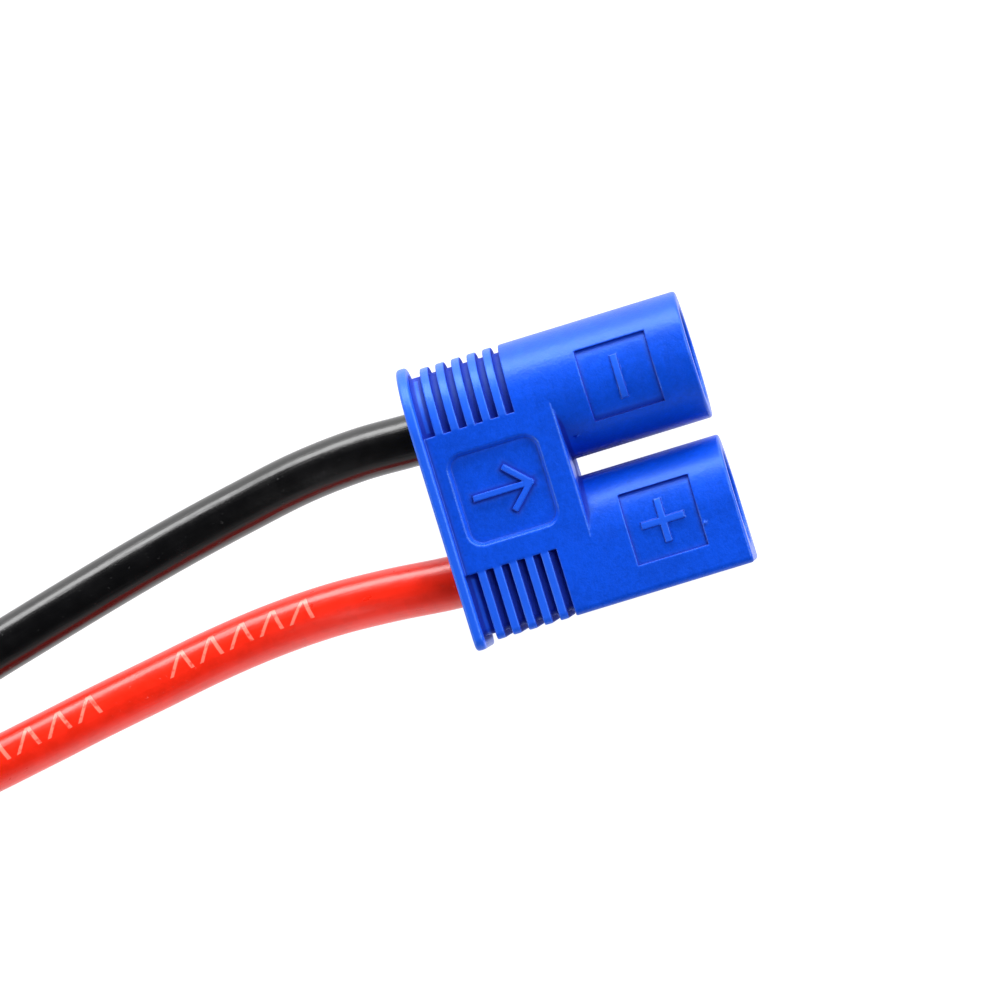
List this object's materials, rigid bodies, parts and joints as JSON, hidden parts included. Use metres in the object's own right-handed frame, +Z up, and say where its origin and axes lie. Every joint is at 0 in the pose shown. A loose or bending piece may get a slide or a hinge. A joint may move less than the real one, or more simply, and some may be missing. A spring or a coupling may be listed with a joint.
{
  "type": "battery lead with bullet plug",
  "caption": "Moulded bullet plug with a round and a square prong and gold-plated sockets, on black and red silicone wires with tinned ends.",
  "frame": {"origin": "under the middle of the plug housing, on the surface that it lies on", "axes": "+X is the way the plug goes into its mate, +Y is the negative side, +Z is up with the polarity signs on top"},
  "size_m": [0.1195, 0.0175, 0.008],
  "materials": {
    "housing_plastic": "satin moulded nylon, bright blue",
    "gold_plate": "gold plate on brass, polished",
    "solder": "bright tin solder",
    "black_silicone": "soft satin silicone, black",
    "red_silicone": "soft satin silicone, red, with pale print",
    "copper_strands": "fine bare copper strands",
    "tinned_strands": "solder-coated strands"
  },
  "bodies": {
    "root": {"housing": "housing_plastic", "contact_negative": "gold_plate", "contact_positive": "gold_plate", "solder_negative": "solder", "solder_positive": "solder", "insulation_negative": "black_silicone", "insulation_positive": "red_silicone", "conductor_negative": "copper_strands", "conductor_positive": "copper_strands", "tinned_end_negative": "tinned_strands", "tinned_end_positive": "tinned_strands"}
  },
  "joints": []
}
